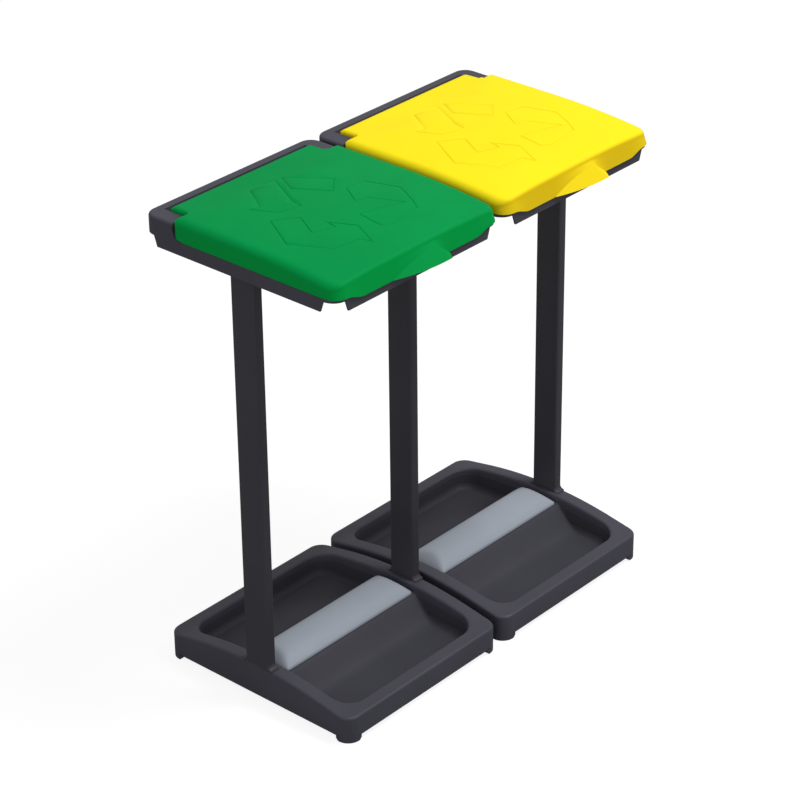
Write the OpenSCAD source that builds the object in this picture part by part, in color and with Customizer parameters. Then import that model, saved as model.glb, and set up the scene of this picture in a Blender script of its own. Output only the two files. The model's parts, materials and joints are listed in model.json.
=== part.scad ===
// Double recycling bin: two bag stands joined side by side, with a shared middle post.
// Each stand is a moulded base tray, a bag ring with a hinged lid, and tubular posts.
// X runs across the pair, the lids' pulls face -Y, and Z is up from the floor.

/* [Stand] */
// Gap between the two bag rings
unit_gap = 8; // [6:0.5:30]
// Height of the bag rings' lower edge above the floor
ring_edge_height = 733.5; // [500:0.5:900]

/* [Base tray] */
// Width of a base tray
tray_width = 356; // [330:1:362]
// Depth of a base tray
tray_depth = 389; // [340:1:430]
// Radius of the tray's outer corners
tray_corner_radius = 22; // [12:1:30]
// Wall thickness of a base tray
tray_wall = 3; // [2:0.1:4]
// Height of the tray's outer wall at the corners
tray_wall_height = 37; // [30:0.5:45]
// Rise of the side rims from the corners up to the posts
rim_rise = 24; // [12:0.5:34]
// Length of the arch in each side rim
rim_arch_length = 344; // [280:1:344]
// Width of the rim round the recess
rim_width = 24; // [22:0.5:34]
// Radius of the rim's outer edge
rim_edge_radius = 4; // [3.5:0.25:6]
// Height of the corner feet below the wall
foot_height = 10; // [6:0.5:16]
// Length of a corner foot along the wall
foot_length = 28; // [24:0.5:50]
// Height of the recess floor above the wall's lower edge
floor_rise = 5; // [4:0.5:10]
// Radius of the recess corners, seen from above
recess_corner_radius = 36; // [20:1:60]
// Inward lean of the recess wall, from the rim to the floor
recess_lean = 7; // [2:0.5:12]
// Fillet between the recess wall and its floor
recess_fillet = 12; // [4:0.5:18]
// Height of the cross ridge above the wall's lower edge
ridge_height = 42; // [30:0.5:48]
// Width of the cross ridge at its top
ridge_width = 82; // [76:1:110]
// Run of each sloping side of the ridge
ridge_run = 36; // [24:1:50]
// Radius where the sloping sides meet the floor and the ridge top
ridge_fillet = 16; // [6:1:24]
// Distance between the stiffening webs under the rim
web_pitch = 62; // [54:1:68]
// Thickness of the stiffening webs
web_thickness = 2; // [1.5:0.1:3]

/* [Bag roll store] */
// Length of the ridge's flat top past each end of the trough
trough_end = 7; // [5:0.5:30]
// Width of the trough in the ridge
trough_width = 56; // [40:1:62]
// Depth of the trough below the ridge top
trough_depth = 33; // [20:0.5:34]
// Corner radius of the trough
trough_corner_radius = 8; // [3:0.5:14]
// Gap between the store's cover and the recess wall at each end
cover_end_gap = 6.5; // [4:0.5:7]
// Width of the store's cover
cover_width = 82; // [78:1:84]
// Height of the cover from its edge to its crown
cover_height = 19; // [12:0.5:20]
// Height of the cover's upright edge below its arch
cover_edge_height = 3.7; // [2:0.1:6]
// Run of the cover's sloping ends, from the upright edge to the crown
cover_end_run = 15; // [8:0.5:16]
// Wall thickness of the cover
cover_wall = 2.5; // [2:0.1:3.5]
// Depth of the cover's locating walls in the trough
cover_lip_depth = 6; // [3:0.5:10]
// Width of the finger notch in the cover's front edge
cover_notch_width = 15; // [10:0.5:24]
// Height of the finger notch in the cover's front edge
cover_notch_height = 2.6; // [1.5:0.1:4]

/* [Posts] */
// Thickness of a post across the pair
post_thickness = 19; // [16:0.5:21]
// Width of a post from front to back
post_width = 41; // [34:0.5:50]
// Radius of a post's upright edges
post_corner_radius = 4; // [3:0.25:6]
// Wall thickness of a post
post_wall = 2; // [1.5:0.1:2.6]
// Length of the plug in each end of a post
plug_length = 50; // [44:1:80]
// Thickness of the pad under and over a post's end
pad_thickness = 5; // [4:0.25:8]
// Height of the fillet round the foot of a post
post_fillet = 5; // [3:0.5:8]

/* [Screws] */
// Diameter of a post screw's shank
screw_diameter = 5; // [4:0.5:6]
// Length of a post screw below its head
screw_length = 40; // [30:1:44]
// Diameter of a post screw's head
screw_head_diameter = 9.5; // [8:0.5:11]
// Height of a post screw's head
screw_head_height = 3.2; // [2.5:0.1:3.8]
// Room round a screw's head for the driver, under the tray
driver_room = 1.5; // [1:0.1:3]

/* [Bag ring] */
// Overhang of a bag ring past each side of the tray
ring_side_overhang = 3; // [2:0.25:6]
// Overhang of a bag ring past the back of the tray
ring_back_overhang = 1; // [0:0.25:4]
// Distance from the tray's front to the ring's front
ring_setback = 6.8; // [0:0.1:20]
// Radius of the ring's outer corners
ring_corner_radius = 22.5; // [18:0.5:30]
// Width of the ring's flange
flange_width = 24; // [24:0.5:34]
// Width of the flange under the hinge
rear_flange_width = 46; // [40:0.5:60]
// Thickness of the ring's flange
flange_thickness = 4.5; // [3:0.1:6]
// Height of the skirt under the flange
skirt_height = 17.5; // [12:0.5:24]
// Thickness of the skirt
skirt_wall = 3; // [2:0.1:3]
// Radius of the bag opening's corners
opening_corner_radius = 30; // [12:1:60]
// Thickness of the collar round the bag opening
collar_wall = 2.5; // [2:0.1:3.5]
// Height of the collar below the flange
collar_height = 13; // [8:0.5:16]
// Distance from the ring's corner to the skirt's end, at the flange
notch_top = 22.8; // [18:0.1:34]
// Distance from the ring's corner to the skirt's end, at the lower edge
notch_bottom = 28.8; // [18:0.1:40]
// Height of the raised band behind the lid, above the flange
band_height = 25.5; // [20:0.5:30]
// Thickness of the raised band behind the lid, at its foot
band_depth = 21; // [18:0.5:30]
// Radius of the outer top edge of the band and the arms
band_edge_radius = 5; // [4:0.25:8]
// Backward lean of the band's inner face, from its foot to its top
band_lean = 4; // [3:0.1:6]
// Width of the two arms that carry the hinge
arm_width = 29; // [26:0.5:40]
// Reach of the arms in front of the hinge
arm_reach = 24; // [20:0.5:34]
// Radius between an arm's front and the flange
arm_fillet = 15; // [8:0.5:15]
// Wall thickness of the band and the arms
band_wall = 3; // [2:0.1:4]

/* [Lid] */
// Wall thickness of a lid
lid_wall = 2.5; // [2:0.1:3.5]
// Height of a lid's side from its lower edge to its top edge
lid_side_height = 34; // [33:0.5:36]
// Rise of the lid's crown above its side edges
lid_crown = 5; // [2:0.5:8]
// Drop of the lid's top from its middle to its front edge
lid_front_drop = 12; // [6:0.5:14]
// Backward lean of the lid's front face
lid_front_lean = 5; // [2:0.5:8]
// Distance in front of the hinge where the lid's top starts to fall to the rear
lid_rear_fall = 100; // [60:1:140]
// Radius of the edge round the lid's top
lid_edge_radius = 7; // [4:0.5:9]
// Radius of the lid's front corners, seen from above
lid_corner_radius = 24; // [14:0.5:32]
// Radius of the lid's rear corners, seen from above
lid_rear_radius = 6; // [4:0.5:8]
// Depth of the front apron below the lid's side edge
apron_depth = 8.5; // [4:0.5:12]
// Length over which the apron rises to the lid's edge at each end
apron_run = 34; // [20:1:60]
// Radius of the rounded rear edge about the hinge
nose_radius = 16; // [15:0.5:17]
// Gap between the lid and the ring round it
lid_gap = 1; // [0.6:0.1:1.5]
// Gap between the closed lid's edge and the flange under it
lid_seat_gap = 0.5; // [0.3:0.1:1]
// Half width of the pull at its lower edge
pull_half_width = 62; // [40:1:80]
// Distance from the lid's middle to the crest of the pull's arc
pull_offset = 35; // [20:1:45]
// Reach of the pull in front of the lid
pull_reach = 17; // [10:0.5:20]
// Height of the pull from its lower edge to its top
pull_height = 22; // [16:0.5:26]
// Run of the pull's short end along the lid, at its lower edge
pull_end_run = 13; // [8:0.5:20]
// Run of the pull's short end along the lid, from its lower edge to its top
pull_end_lean = 30; // [16:0.5:40]

/* [Hinge] */
// Diameter of a hinge pin
pin_diameter = 8; // [6:0.5:10]
// Diameter of the boss round a hinge pin
boss_diameter = 15; // [13:0.5:18]
// Length of the boss inside the lid
lid_boss_length = 14; // [8:0.5:20]
// Length of the boss inside the ring's arm
arm_boss_length = 8; // [4:0.5:12]
// Running clearance round a hinge pin, on the radius
pin_clearance = 0.1; // [0.05:0.01:0.2]

/* [Unit links] */
// Thickness of a link clip's walls
link_wall = 2.5; // [2:0.1:4]
// Height of a link clip's walls
link_height = 13; // [8:0.5:16]

/* [Hidden] */

// Clearance between pieces that are fitted together and don't move
fit_gap = 0.2;
// Overrun of a cut past the face that it opens
cut = 1;
// Depth by which joined shapes of one piece run into each other
weld = 0.5;
// Smoothness of small rounds, large rounds and very large arcs
fine = 48;
round_fn = 96;
arc_fn = 720;
// Straight pieces in a rounded corner, in the nose and in each bend of the lid's top
corner_steps = 6;
nose_steps = 14;
top_steps = 10;

// Colours of the plastics and the screws
dark_grey = [0.20, 0.20, 0.22];
post_grey = [0.16, 0.16, 0.18];
cover_grey = [0.57, 0.60, 0.65];
lid_green_colour = [0.03, 0.58, 0.27];
lid_yellow_colour = [0.97, 0.88, 0.12];
screw_steel = [0.45, 0.45, 0.47];

// Heights in the tray
wall_base_z = foot_height;
rim_z = wall_base_z + tray_wall_height;
crest_z = rim_z + rim_rise;
floor_z = wall_base_z + floor_rise;
ridge_z = wall_base_z + ridge_height;
rim_arch_radius = (pow(rim_arch_length / 2, 2) + pow(rim_rise, 2)) / (2 * rim_rise);

// Heights in the ring and the lid
skirt_top_z = ring_edge_height + skirt_height;
flange_z = skirt_top_z + flange_thickness;
band_z = flange_z + band_height;
hinge_z = flange_z + lid_seat_gap + nose_radius;
lid_edge_z = flange_z + lid_seat_gap;
lid_side_z = lid_edge_z + lid_side_height;
crown_z = lid_side_z + lid_crown;
nose_top_z = hinge_z + nose_radius;
web_rise = collar_height / 4;

// Places from front to back
ring_front = ring_setback - tray_depth / 2;
ring_back = tray_depth / 2 + ring_back_overhang;
ring_depth = ring_back - ring_front;
ring_middle = (ring_back + ring_front) / 2;
hinge_y = ring_back - band_depth - lid_gap - nose_radius;
arm_front = hinge_y - arm_reach;
lid_back = arm_front - lid_gap;
lid_front = ring_front - lid_gap - lid_wall;
pull_front = lid_front - pull_reach;
bag_front = ring_front + flange_width;
bag_back = ring_back - rear_flange_width;

// The pair is centred on its own box
mid_y = (ring_back + pull_front) / 2;
ring_width = tray_width + 2 * ring_side_overhang;
unit_pitch = ring_width + unit_gap;
left_unit_x = -unit_pitch / 2;
right_unit_x = unit_pitch / 2;

// Places across one unit
post_x = tray_width / 2 - post_thickness / 2;
cover_length = tray_width - 2 * (rim_width + cover_end_gap);
trough_length = tray_width - 2 * (rim_width + recess_lean + trough_end);
arm_inner = ring_width / 2 - arm_width;
tongue_half = arm_inner - lid_gap;
pull_radius = (pow(pull_half_width + pull_offset, 2) + pow(pull_reach, 2)) / (2 * pull_reach);

post_length = ring_edge_height - crest_z;

// The pins end inside the arms' bosses, short of the bosses' ends by the gap beside the lid
pin_length = lid_boss_length + band_wall + arm_boss_length;

// The links sit midway between two webs
link_y = 1.5 * web_pitch;
link_length = web_pitch / 2;

// Fall of the corner between a cover's upright end and its slope, for each unit of inset
cover_end_share = tan(atan2(cover_end_run, cover_height - cover_edge_height) / 2);

// Points of a polygon with its corners rounded to the radii given
function unit_vector(v) = v / norm(v);
function turn(a) = a > 180 ? a - 360 : (a < -180 ? a + 360 : a);
function rounded_corner(a, p, b, r) =
    r <= 0 ? [p] :
    let (
        u = unit_vector(a - p),
        v = unit_vector(b - p),
        half = acos(max(-1, min(1, u * v))) / 2,
        centre = p + unit_vector(u + v) * r / sin(half),
        first = p + u * r / tan(half) - centre,
        last = p + v * r / tan(half) - centre,
        start = atan2(first[1], first[0]),
        sweep = turn(atan2(last[1], last[0]) - start)
    )
    [for (i = [0 : corner_steps]) centre
        + r * [cos(start + sweep * i / corner_steps), sin(start + sweep * i / corner_steps)]];
function rounded_points(points, radii) =
    let (n = len(points))
    [for (i = [0 : n - 1])
        each rounded_corner(points[(i + n - 1) % n], points[i], points[(i + 1) % n], radii[i])];

// Turns a profile drawn in (y, z) into a bar along X
module along_x(length) {
    rotate([90, 0, 90]) linear_extrude(height = length, center = true) children();
}

// Turns a profile drawn in (x, z) into a bar along Y
module along_y(length) {
    rotate([90, 0, 0]) linear_extrude(height = length, center = true) children();
}

module rounded_rect(width, depth, radius) {
    square([width - 2 * radius, depth], center = true);
    square([width, depth - 2 * radius], center = true);
    for (sx = [-1, 1], sy = [-1, 1])
        translate([sx * (width / 2 - radius), sy * (depth / 2 - radius)])
            circle(r = radius, $fn = round_fn);
}

// Strip centred on X from one y to another, with its own corner radius at each end
module rounded_strip(width, from, to, radius_from, radius_to) {
    half = width / 2;
    translate([-half, from + radius_from]) square([width, to - from - radius_from - radius_to]);
    translate([radius_from - half, from]) square([width - 2 * radius_from, radius_from + weld]);
    translate([radius_to - half, to - radius_to - weld]) square([width - 2 * radius_to, radius_to + weld]);
    for (sx = [-1, 1]) {
        if (radius_from > 0)
            translate([sx * (half - radius_from), from + radius_from]) circle(r = radius_from, $fn = round_fn);
        if (radius_to > 0)
            translate([sx * (half - radius_to), to - radius_to]) circle(r = radius_to, $fn = round_fn);
    }
}

// Upper right quarter of a profile with a rounded corner, from the axis out to the half width
module soft_profile(from_x, half, from_z, to_z, edge) {
    translate([from_x, from_z]) square([half - from_x, to_z - edge - from_z]);
    translate([from_x, from_z]) square([half - edge - from_x, to_z - from_z]);
    translate([half - edge, to_z - edge]) circle(r = edge, $fn = fine);
}

// Upright block with rounded corners and a rounded edge round its top
module soft_block(width, depth, radius, edge, from_z, to_z) {
    for (sx = [-1, 1], sy = [-1, 1])
        translate([sx * (width / 2 - radius), sy * (depth / 2 - radius), 0])
            rotate_extrude($fn = round_fn) soft_profile(0, radius, from_z, to_z, edge);
    for (s = [0, 1]) {
        mirror([0, s, 0]) along_x(width - 2 * radius) soft_profile(-weld, depth / 2, from_z, to_z, edge);
        mirror([s, 0, 0]) along_y(depth - 2 * radius) soft_profile(-weld, width / 2, from_z, to_z, edge);
    }
}

// Arched rim over the posts: a ring section about an axis along X, with rounded outer edges
module rim_arch() {
    low_z = rim_z - rim_edge_radius - weld;
    reach = crest_z - low_z;
    intersection() {
        translate([0, 0, crest_z - rim_arch_radius]) rotate([0, 90, 0]) rotate_extrude($fn = arc_fn)
            for (s = [0, 1]) mirror([0, s, 0])
                rotate(-90) mirror([1, 0, 0])
                    soft_profile(-weld, tray_width / 2, rim_arch_radius - reach, rim_arch_radius, rim_edge_radius);
        translate([0, 0, low_z]) linear_extrude(height = reach + cut)
            rounded_rect(tray_width, tray_depth, tray_corner_radius);
    }
}

// Side view of the tray: level at the corners, arched up to the posts
module tray_side_view(inset) {
    half = tray_depth / 2 - inset;
    translate([-half, wall_base_z - cut])
        square([2 * half, tray_wall_height - inset + cut]);
    intersection() {
        translate([0, crest_z - rim_arch_radius])
            circle(r = rim_arch_radius - inset, $fn = arc_fn);
        translate([-half, rim_z - inset - weld])
            square([2 * half, rim_rise + weld]);
    }
}

module tray_outside() {
    soft_block(tray_width, tray_depth, tray_corner_radius, rim_edge_radius, wall_base_z, rim_z);
    rim_arch();
}

// The space under the tray, one wall thickness inside its outer walls and its rim
module tray_inside(inset) {
    intersection() {
        translate([0, 0, wall_base_z - cut]) linear_extrude(height = crest_z)
            rounded_rect(tray_width - 2 * inset, tray_depth - 2 * inset, tray_corner_radius - inset);
        along_x(tray_width) tray_side_view(inset);
    }
}

// Profile of the recess from front to back: two basins with the ridge between them
module recess_side_view(grow) {
    top = crest_z + cut;
    rim_y = tray_depth / 2 - rim_width + grow;
    floor_y = rim_y - recess_lean;
    slope = atan2(ridge_z - floor_z, ridge_run);
    shift = grow * tan(slope / 2);
    ridge_y = ridge_width / 2 - shift;
    ramp_y = ridge_width / 2 + ridge_run - shift;
    points = [
        [-rim_y, top], [-rim_y, rim_z], [-floor_y, floor_z - grow], [-ramp_y, floor_z - grow],
        [-ridge_y, ridge_z - grow], [ridge_y, ridge_z - grow], [ramp_y, floor_z - grow],
        [floor_y, floor_z - grow], [rim_y, rim_z], [rim_y, top]
    ];
    radii = [0, 0, recess_fillet, ridge_fillet, post_fillet, post_fillet, ridge_fillet, recess_fillet, 0, 0];
    polygon(rounded_points(points, radii));
}

// Profile of the recess from side to side
module recess_front_view(grow) {
    top = crest_z + cut;
    rim_x = tray_width / 2 - rim_width + grow;
    floor_x = rim_x - recess_lean;
    points = [
        [-rim_x, top], [-rim_x, rim_z], [-floor_x, floor_z - grow],
        [floor_x, floor_z - grow], [rim_x, rim_z], [rim_x, top]
    ];
    polygon(rounded_points(points, [0, 0, recess_fillet, recess_fillet, 0, 0]));
}

module recess(grow) {
    intersection() {
        linear_extrude(height = crest_z + 2 * cut)
            rounded_rect(tray_width - 2 * (rim_width - grow), tray_depth - 2 * (rim_width - grow),
                recess_corner_radius + grow);
        along_x(tray_width) recess_side_view(grow);
        along_y(tray_depth) recess_front_view(grow);
    }
}

module trough(grow) {
    translate([0, 0, ridge_z - trough_depth - grow])
        linear_extrude(height = trough_depth + (grow > 0 ? 0 : cut))
            rounded_rect(trough_length + 2 * grow, trough_width + 2 * grow, trough_corner_radius + grow);
}

// Webs between the outer wall and the recess wall, under the rim
module tray_webs() {
    count_y = floor((tray_depth / 2 - rim_width - recess_corner_radius) / web_pitch);
    count_x = floor((tray_width / 2 - rim_width - recess_corner_radius) / web_pitch);
    for (i = [-count_y : count_y])
        translate([-tray_width / 2, i * web_pitch - web_thickness / 2, wall_base_z])
            cube([tray_width, web_thickness, crest_z]);
    for (i = [-count_x : count_x])
        translate([i * web_pitch - web_thickness / 2, -tray_depth / 2, wall_base_z])
            cube([web_thickness, tray_depth, crest_z]);
}

// Foot at one corner: the tray's own corner carried down to the floor, with bevelled ends
module corner_feet() {
    bevel = foot_height / 2;
    pad_top = floor_z - tray_wall;
    for (sx = [-1, 1], sy = [-1, 1]) scale([sx, sy, 1]) intersection() {
        linear_extrude(height = pad_top) rounded_rect(tray_width, tray_depth, tray_corner_radius);
        translate([tray_width / 2 - foot_length / 2, 0, 0]) along_y(tray_depth)
            polygon([[-foot_length / 2, pad_top], [-foot_length / 2, bevel],
                [bevel - foot_length / 2, 0], [foot_length / 2, 0], [foot_length / 2, pad_top]]);
        translate([0, tray_depth / 2 - foot_length / 2, 0]) along_x(tray_width)
            polygon([[-foot_length / 2, pad_top], [-foot_length / 2, bevel],
                [bevel - foot_length / 2, 0], [foot_length / 2, 0], [foot_length / 2, pad_top]]);
    }
}

// Level pad under a post, with the fillets that run up its front and back
module post_pad(side) {
    half = post_width / 2 + fit_gap;
    translate([side * post_x, 0, 0]) {
        translate([-post_thickness / 2, -post_width / 2, crest_z - pad_thickness])
            cube([post_thickness, post_width, pad_thickness]);
        for (sy = [-1, 1]) scale([1, sy, 1]) along_x(post_thickness) difference() {
            translate([half, crest_z - tray_wall]) square([post_fillet, tray_wall + post_fillet]);
            translate([half + post_fillet, crest_z + post_fillet]) circle(r = post_fillet, $fn = fine);
        }
    }
}

// Screw hole in a post pad, with room for the driver through the webs below it
module foot_screw_hole(side) {
    seat_z = crest_z - pad_thickness;
    translate([side * post_x, 0, seat_z - cut])
        cylinder(d = screw_diameter + 2 * fit_gap, h = pad_thickness + 2 * cut, $fn = fine);
    translate([side * post_x, 0, wall_base_z - cut])
        cylinder(d = screw_head_diameter + 2 * driver_room, h = seat_z - wall_base_z + cut, $fn = fine);
}

// Base tray, with a post pad on each side listed
module tray(post_sides) {
    difference() {
        union() {
            difference() {
                tray_outside();
                difference() {
                    tray_inside(tray_wall);
                    recess(tray_wall);
                    trough(tray_wall);
                    tray_webs();
                }
                recess(0);
                trough(0);
            }
            corner_feet();
            for (side = post_sides) post_pad(side);
        }
        for (side = post_sides) foot_screw_hole(side);
    }
}

// Arched cover over the trough that holds the spare bag roll
module cover_arch(inset, bottom) {
    arch_rise = cover_height - cover_edge_height;
    arch_radius = (pow(cover_width / 2, 2) + pow(arch_rise, 2)) / (2 * arch_rise);
    crown = ridge_z + fit_gap + cover_height;
    half = cover_width / 2 - inset;
    intersection() {
        translate([0, crown - arch_radius]) circle(r = arch_radius - inset, $fn = 2 * round_fn);
        translate([-half, bottom]) square([2 * half, crown - bottom]);
    }
}

// Front view of the cover: upright edges at its ends, then slopes up to the crown
module cover_front_view(inset, bottom) {
    half = cover_length / 2 - inset;
    slope_z = ridge_z + fit_gap + cover_edge_height - inset * cover_end_share;
    run = cover_end_run + cut * cover_end_run / (cover_height - cover_edge_height);
    rise = cover_height - cover_edge_height + cut;
    polygon([[-half, bottom], [half, bottom], [half, slope_z], [half - run, slope_z + rise],
        [run - half, slope_z + rise], [-half, slope_z]]);
}

module roll_cover() {
    edge_z = ridge_z + fit_gap;
    lip_y = trough_width / 2 - fit_gap - cover_wall;
    lip_length = trough_length - 2 * trough_corner_radius;
    difference() {
        intersection() {
            along_x(cover_length) cover_arch(0, edge_z);
            along_y(cover_width) cover_front_view(0, edge_z);
        }
        intersection() {
            along_x(cover_length) cover_arch(cover_wall, edge_z - cut);
            along_y(cover_width) cover_front_view(cover_wall, edge_z - cut);
        }
        translate([0, -cover_width / 2, edge_z]) along_y(4 * cover_wall)
            rounded_rect(cover_notch_width, 2 * cover_notch_height, cover_notch_height / 2);
    }
    intersection() {
        for (sy = [-1, 1]) scale([1, sy, 1])
            translate([-lip_length / 2, lip_y, edge_z - cover_lip_depth])
                cube([lip_length, cover_wall, cover_height + cover_lip_depth]);
        along_x(cover_length) cover_arch(cover_wall - weld, edge_z - cover_lip_depth);
    }
}

module post_section(inset) {
    rounded_rect(post_thickness - 2 * inset, post_width - 2 * inset, post_corner_radius - inset);
}

module post() {
    translate([0, 0, crest_z]) linear_extrude(height = post_length) difference() {
        post_section(0);
        post_section(post_wall);
    }
}

// Plug in the end of a post, drilled up its middle for the post screw
module plug() {
    difference() {
        linear_extrude(height = plug_length) post_section(post_wall + fit_gap / 2);
        translate([0, 0, -cut]) cylinder(d = screw_diameter, h = plug_length + 2 * cut, $fn = fine);
    }
}

// Pan head screw, head at the bottom and point up, with its seat at height zero
module post_screw() {
    point = screw_diameter;
    shank = screw_diameter - fit_gap;
    cylinder(d = shank, h = screw_length - point, $fn = fine);
    translate([0, 0, screw_length - point])
        cylinder(d1 = shank, d2 = shank / 4, h = point, $fn = fine);
    translate([0, 0, -screw_head_height]) difference() {
        cylinder(d = screw_head_diameter, h = screw_head_height, $fn = fine);
        translate([0, 0, -cut]) cylinder(d = screw_head_diameter / 2, h = screw_head_height / 2 + cut, $fn = 6);
    }
}

// Skirt panel under one edge of the ring, with slanted ends
module skirt_panel(length_top, length_bottom) {
    along_y(skirt_wall) polygon([
        [-length_bottom / 2, ring_edge_height], [length_bottom / 2, ring_edge_height],
        [length_top / 2, skirt_top_z + weld], [-length_top / 2, skirt_top_z + weld]
    ]);
}

module ring_skirt() {
    for (sy = [-1, 1])
        translate([0, ring_middle + sy * (ring_depth - skirt_wall) / 2, 0])
            skirt_panel(ring_width - 2 * notch_top, ring_width - 2 * notch_bottom);
    for (sx = [-1, 1])
        translate([sx * (ring_width - skirt_wall) / 2, ring_middle, 0]) rotate([0, 0, 90])
            skirt_panel(ring_depth - 2 * notch_top, ring_depth - 2 * notch_bottom);
}

module ring_outline(inset) {
    translate([0, ring_middle])
        rounded_rect(ring_width - 2 * inset, ring_depth - 2 * inset, ring_corner_radius - inset);
}

module bag_opening(grow) {
    translate([0, (bag_front + bag_back) / 2])
        rounded_rect(ring_width - 2 * (flange_width - grow), bag_back - bag_front + 2 * grow,
            opening_corner_radius + grow);
}

// Webs between the skirt and the collar
module ring_webs() {
    web_height = collar_height - web_rise;
    half_x = ring_width / 2 - skirt_wall / 2;
    half_y = ring_depth / 2 - skirt_wall / 2;
    count_x = floor((ring_width / 2 - notch_bottom) / web_pitch);
    count_y = floor((ring_depth / 2 - notch_bottom) / web_pitch);
    translate([0, 0, skirt_top_z - web_height]) {
        for (i = [-count_x : count_x])
            translate([i * web_pitch - web_thickness / 2, ring_middle - half_y, 0])
                cube([web_thickness, 2 * half_y, web_height + weld]);
        for (i = [-count_y : count_y])
            translate([-half_x, i * web_pitch - web_thickness / 2, 0])
                cube([2 * half_x, web_thickness, web_height + weld]);
    }
}

// Side view of the raised band behind the lid, its inner face leaning back
module band_side_view(inset) {
    foot_y = ring_back - band_depth + inset;
    top_z = band_z - inset;
    polygon([[foot_y, skirt_top_z - inset], [foot_y, flange_z], [foot_y + band_lean, top_z],
        [ring_back, top_z], [ring_back, skirt_top_z - inset]]);
}

// Side view of an arm, its front rounded about the hinge above and filleted into the flange below
module arm_side_view(inset) {
    top_z = band_z - inset;
    front = arm_front + inset;
    intersection() {
        translate([front, skirt_top_z - inset]) square([ring_back - front, top_z - skirt_top_z + inset]);
        union() {
            translate([hinge_y, hinge_z]) circle(r = arm_reach - inset, $fn = round_fn);
            translate([hinge_y, skirt_top_z - inset]) square([ring_back - hinge_y, band_z - skirt_top_z]);
            translate([front, skirt_top_z - inset]) square([arm_reach, hinge_z - skirt_top_z + inset]);
        }
    }
}

// Fillet between an arm's front and the flange
module arm_foot_view() {
    reach = arm_fillet + lid_gap;
    difference() {
        translate([arm_front - reach, skirt_top_z]) square([reach + weld, arm_fillet + flange_thickness + lid_gap]);
        translate([arm_front - reach, lid_edge_z + arm_fillet]) circle(r = reach, $fn = round_fn);
        translate([arm_front - reach - cut, lid_edge_z + arm_fillet]) square([reach + 2 * cut, reach]);
    }
}

module hinge_band(inset) {
    arm_middle = ring_width / 2 - arm_width / 2;
    intersection() {
        translate([0, ring_middle, 0])
            soft_block(ring_width - 2 * inset, ring_depth - 2 * inset, ring_corner_radius - inset,
                band_edge_radius - inset, skirt_top_z - (inset > 0 ? cut : 0), band_z - inset);
        union() {
            along_x(ring_width) band_side_view(inset);
            for (side = [-1, 1])
                translate([side * arm_middle, 0, 0]) along_x(arm_width - 2 * inset) arm_side_view(inset);
        }
    }
}

module on_hinge(x) {
    translate([x, hinge_y, hinge_z]) rotate([0, 90, 0]) children();
}

// Column under the flange that stands on a post's end
module post_column(side) {
    translate([side * post_x, 0, ring_edge_height])
        linear_extrude(height = skirt_height + weld) post_section(0);
    translate([side * (post_x + post_thickness / 2), -post_width / 2, ring_edge_height])
        mirror([side < 0 ? 1 : 0, 0, 0]) translate([-post_corner_radius, 0, 0])
            cube([post_corner_radius + weld, post_width, skirt_height + weld]);
}

module top_screw_hole(side) {
    translate([side * post_x, 0, ring_edge_height - cut])
        cylinder(d = screw_diameter + 2 * fit_gap, h = flange_z - ring_edge_height + 2 * cut, $fn = fine);
    translate([side * post_x, 0, flange_z - screw_head_height - fit_gap])
        cylinder(d = screw_head_diameter + 2 * fit_gap, h = screw_head_height + cut, $fn = fine);
}

// Bag ring, with a post column on each side listed
module bag_ring(post_sides) {
    arm_bore = band_wall + arm_boss_length;
    difference() {
        union() {
            difference() {
                union() {
                    translate([0, 0, skirt_top_z]) linear_extrude(height = flange_thickness)
                        ring_outline(0);
                    hinge_band(0);
                    intersection() {
                        ring_webs();
                        translate([0, 0, ring_edge_height]) linear_extrude(height = skirt_height + weld)
                            difference() {
                                ring_outline(weld);
                                bag_opening(collar_wall / 2);
                            }
                    }
                    translate([0, 0, skirt_top_z - collar_height])
                        linear_extrude(height = collar_height + weld) bag_opening(collar_wall);
                }
                hinge_band(band_wall);
                translate([0, 0, ring_edge_height - cut])
                    linear_extrude(height = skirt_height + flange_thickness + 2 * cut) bag_opening(0);
            }
            ring_skirt();
            for (side = [-1, 1]) {
                on_hinge(side * (arm_inner + arm_bore / 2))
                    cylinder(d = boss_diameter, h = arm_bore, center = true, $fn = fine);
                translate([side * (ring_width - arm_width) / 2, 0, 0]) along_x(arm_width) arm_foot_view();
            }
            for (side = post_sides) post_column(side);
        }
        for (side = [-1, 1])
            on_hinge(side * (arm_inner + arm_bore / 2))
                cylinder(r = pin_diameter / 2 + pin_clearance, h = arm_bore + 2 * cut,
                    center = true, $fn = fine);
        for (side = post_sides) top_screw_hole(side);
    }
}

// Side view of the lid: down at the front, level in the middle, rounded about the hinge behind
module lid_side_view(inset) {
    bottom = lid_edge_z - (inset > 0 ? cut : 0);
    foot_y = lid_front + inset;
    top_y = lid_front + lid_front_lean + inset;
    fall_y = hinge_y - lid_rear_fall;
    front_top = [for (i = [1 : top_steps])
        [top_y * (1 - i / top_steps), crown_z - inset - lid_front_drop * pow(1 - i / top_steps, 2)]];
    rear_top = [for (i = [0 : top_steps])
        [fall_y + lid_rear_fall * i / top_steps,
            nose_top_z - inset + (crown_z - nose_top_z) * (1 + cos(180 * i / top_steps)) / 2]];
    nose = [for (i = [1 : nose_steps]) let (a = 90 - 180 * i / nose_steps)
        [hinge_y + (nose_radius - inset) * cos(a), hinge_z + (nose_radius - inset) * sin(a)]];
    front_edge = rounded_corner([foot_y, bottom], [top_y, crown_z - inset - lid_front_drop],
        front_top[0], lid_edge_radius - inset);
    polygon(concat([[foot_y, bottom]], front_edge, front_top, rear_top, nose, [[hinge_y, bottom]]));
}

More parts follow.
